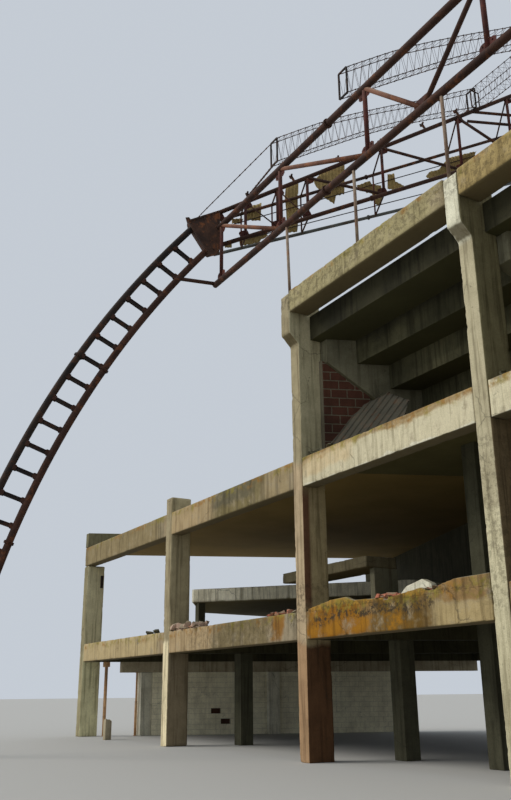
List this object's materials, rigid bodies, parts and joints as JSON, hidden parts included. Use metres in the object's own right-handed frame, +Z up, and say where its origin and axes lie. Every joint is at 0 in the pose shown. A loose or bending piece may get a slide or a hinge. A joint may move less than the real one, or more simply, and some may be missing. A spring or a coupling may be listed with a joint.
{
  "type": "derelict grandstand",
  "caption": "Derelict concrete grandstand seen from behind: open frame, stepped seating and a wing, with rusted lattice roof steel on curved ladder legs",
  "frame": {"origin": "centre of the footprint box, on the ground", "axes": "+X along the rear facade from the wing towards the stand, +Y from the rear facade towards the field, +Z up"},
  "size_m": [39.586, 23.7488, 25.0304],
  "materials": {
    "concrete": "weathered cast concrete with streaks and lichen",
    "block": "painted hollow block, flaking",
    "brick": "bare hollow brick",
    "steel": "rusted",
    "sheet": "dull and weathered"
  },
  "bodies": {
    "root": {"brick_infill": "brick", "broken_parapet": "concrete", "column_1": "concrete", "column_2": "concrete", "column_3": "concrete", "column_4": "concrete", "column_5": "concrete", "eaves_lattice": "steel", "end_upstand": "concrete", "end_wall": "block", "fallen_sheet": "sheet", "field_wall": "concrete", "floor_l1_stand": "concrete", "floor_l1_wing": "concrete", "floor_l2_stand": "concrete", "floor_l2_wing": "concrete", "front_column_3": "concrete", "front_column_4": "concrete", "front_column_5": "concrete", "girder_post_1": "steel", "girder_post_2": "steel", "girder_post_3": "steel", "girder_post_4": "steel", "inner_column_1b": "concrete", "inner_column_2b": "concrete", "inner_column_2c": "concrete", "inner_column_3b": "concrete", "inner_column_3c": "concrete", "inner_column_3m": "concrete", "inner_column_4b": "concrete", "inner_column_4c": "concrete", "inner_column_5b": "concrete", "inner_column_5c": "concrete", "ladder_leg_left": "steel", "ladder_leg_right": "steel", "landing_pier": "concrete", "landing_slab": "concrete", "landing_wall": "concrete", "lintel_prop": "steel", "long_girder": "steel", "mezzanine_post_back": "concrete", "mezzanine_post_front": "concrete", "mezzanine_slab": "concrete", "rafter_1": "steel", "rafter_2": "steel", "rafter_3": "steel", "rafter_4": "steel", "rafter_5": "steel", "raker_3": "concrete", "raker_4": "concrete", "raker_5": "concrete", "roof_frame_left": "steel", "roof_frame_right": "steel", "seating_bay_1": "concrete", "seating_bay_2": "concrete", "top_beam_1": "concrete", "top_beam_2": "concrete", "wall_lintel": "concrete", "wing_back_column": "concrete"}
  },
  "joints": []
}
